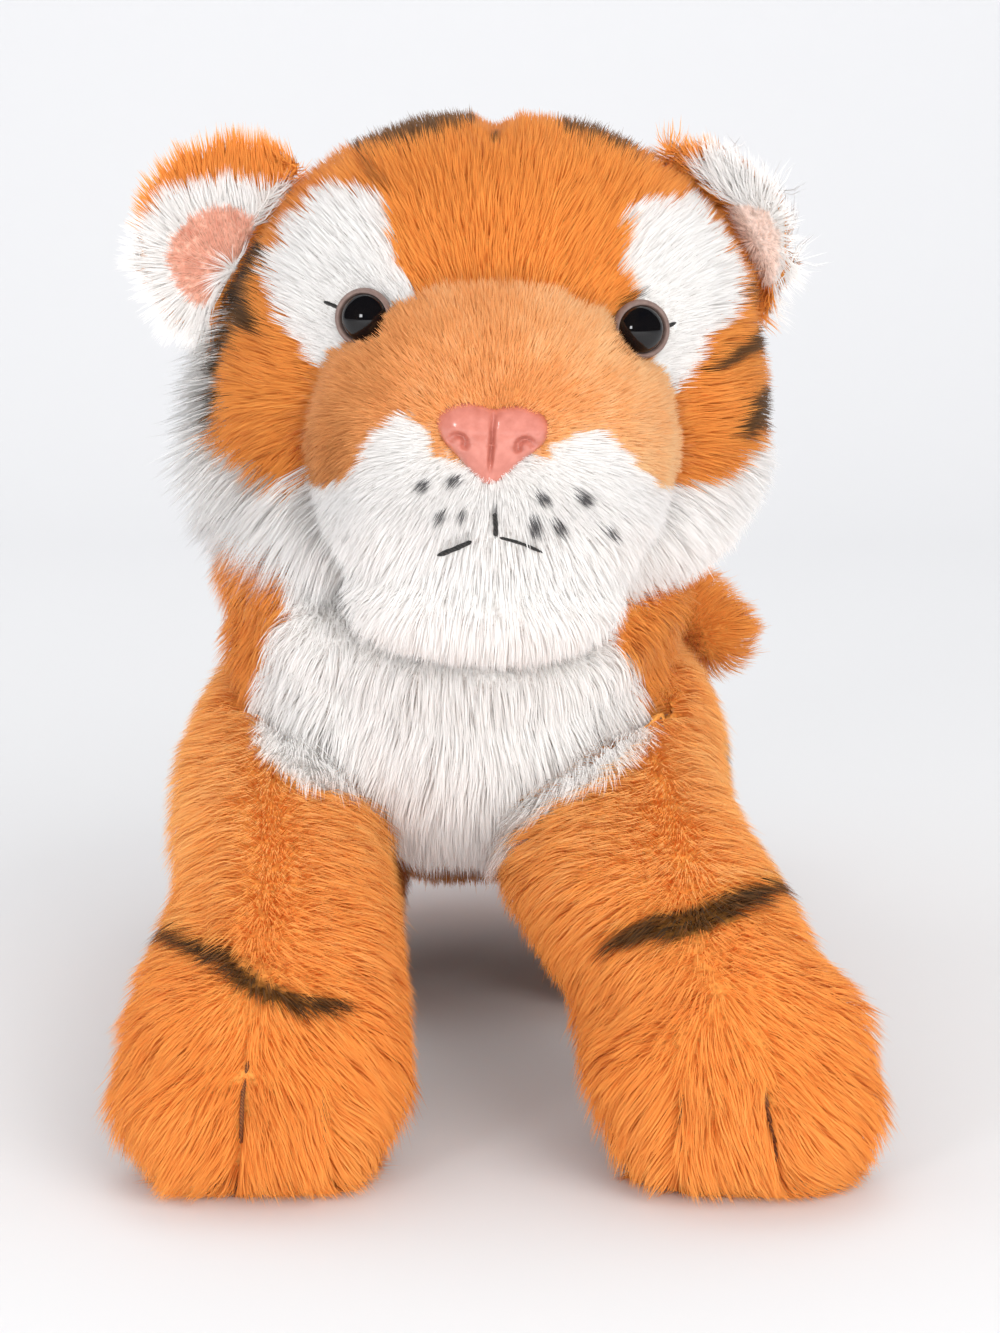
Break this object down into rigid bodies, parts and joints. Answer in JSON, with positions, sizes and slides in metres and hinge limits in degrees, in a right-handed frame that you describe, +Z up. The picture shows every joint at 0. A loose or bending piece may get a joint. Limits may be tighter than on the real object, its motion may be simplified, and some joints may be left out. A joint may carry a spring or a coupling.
{
  "type": "plush tiger",
  "caption": "Stuffed toy tiger lying on its belly with its paws stretched out, plastic eyes and nose, and sewn limbs, ears and tail that bend at their seams.",
  "frame": {"origin": "under the middle of the toy, on the surface that it lies on", "axes": "+Z up, the face looks along -Y, and the toy's own left side is +X"},
  "size_m": [0.1636, 0.34, 0.2234],
  "materials": {
    "orange_plush": "long orange pile with dark stripes",
    "white_plush": "long white pile",
    "tan_plush": "short tan pile",
    "pink_plush": "short pink pile",
    "stuffing": "loose polyester filling",
    "eye_black": "polished black",
    "rim_brown": "satin brown",
    "nose_pink": "glossy salmon pink",
    "washer_white": "plain white",
    "black_thread": "black embroidery thread",
    "brown_thread": "brown embroidery thread"
  },
  "bodies": {
    "torso": {"torso_skin": "orange_plush", "chest_panel": "white_plush", "torso_stuffing": "stuffing"},
    "head": {"head_skin": "orange_plush", "cheek_panel": "white_plush", "eye_patch_left": "white_plush", "eye_patch_right": "white_plush", "head_stuffing": "stuffing", "muzzle_upper": "tan_plush", "muzzle_lower": "white_plush", "muzzle_stuffing": "stuffing", "chin": "white_plush", "eye_left": "eye_black", "eye_right": "eye_black", "eye_rim_left": "rim_brown", "eye_rim_right": "rim_brown", "eye_washer_left": "washer_white", "eye_washer_right": "washer_white", "eye_thread_left": "black_thread", "eye_thread_right": "black_thread", "nose": "nose_pink", "nose_washer": "washer_white", "mouth_thread_centre": "black_thread", "mouth_thread_left": "black_thread", "mouth_thread_right": "black_thread"},
    "ear_left": {"ear_back_left": "orange_plush", "ear_lining_left": "white_plush", "ear_patch_left": "pink_plush"},
    "ear_right": {"ear_back_right": "orange_plush", "ear_lining_right": "white_plush", "ear_patch_right": "pink_plush"},
    "front_leg_left": {"front_leg_left_skin": "orange_plush", "front_leg_left_stuffing": "stuffing", "toe_thread_front_left_1": "brown_thread", "toe_thread_front_left_2": "brown_thread"},
    "front_leg_right": {"front_leg_right_skin": "orange_plush", "front_leg_right_stuffing": "stuffing", "toe_thread_front_right_1": "brown_thread", "toe_thread_front_right_2": "brown_thread"},
    "hind_leg_left": {"hind_leg_left_skin": "orange_plush", "hind_leg_left_stuffing": "stuffing", "toe_thread_hind_left_1": "brown_thread", "toe_thread_hind_left_2": "brown_thread"},
    "hind_leg_right": {"hind_leg_right_skin": "orange_plush", "hind_leg_right_stuffing": "stuffing", "toe_thread_hind_right_1": "brown_thread", "toe_thread_hind_right_2": "brown_thread"},
    "tail": {"tail_skin": "orange_plush", "tail_stuffing": "stuffing"}
  },
  "joints": [
    {"name": "head_turn", "type": "hinge", "parent": "torso", "child": "head", "pos_m": [0.00151, -0.05487, 0.1495], "axis": [0.0436, 0.0008, 0.999], "range_deg": [-18, 18], "stiffness_Nm_per_rad": 1},
    {"name": "front_leg_left_splay", "type": "hinge", "parent": "torso", "child": "front_leg_left", "pos_m": [0.03151, -0.03887, 0.0795], "axis": [0, -0.4511, 0.8924], "range_deg": [-3, 14], "stiffness_Nm_per_rad": 2},
    {"name": "front_leg_right_splay", "type": "hinge", "parent": "torso", "child": "front_leg_right", "pos_m": [-0.04449, -0.03887, 0.0795], "axis": [0, 0.4562, -0.8899], "range_deg": [-3, 14], "stiffness_Nm_per_rad": 2},
    {"name": "hind_leg_left_splay", "type": "hinge", "parent": "torso", "child": "hind_leg_left", "pos_m": [0.03551, 0.07813, 0.0565], "axis": [0, -0.416, 0.9094], "range_deg": [-2, 20], "stiffness_Nm_per_rad": 2},
    {"name": "hind_leg_right_splay", "type": "hinge", "parent": "torso", "child": "hind_leg_right", "pos_m": [-0.04849, 0.07813, 0.0565], "axis": [0, 0.416, -0.9094], "range_deg": [-2, 20], "stiffness_Nm_per_rad": 2},
    {"name": "tail_wag", "type": "hinge", "parent": "torso", "child": "tail", "pos_m": [-0.00649, 0.12513, 0.0775], "axis": [0, 0, 1], "range_deg": [-15, 15], "stiffness_Nm_per_rad": 0.3},
    {"name": "ear_left_fold", "type": "hinge", "parent": "head", "child": "ear_left", "pos_m": [0.05284, -0.04797, 0.19865], "axis": [0.636, 0.0111, -0.7716], "range_deg": [-8, 16], "stiffness_Nm_per_rad": 0.1},
    {"name": "ear_right_fold", "type": "hinge", "parent": "head", "child": "ear_right", "pos_m": [-0.05312, -0.04982, 0.19143], "axis": [0.5372, 0.0094, 0.8434], "range_deg": [-8, 16], "stiffness_Nm_per_rad": 0.1}
  ]
}
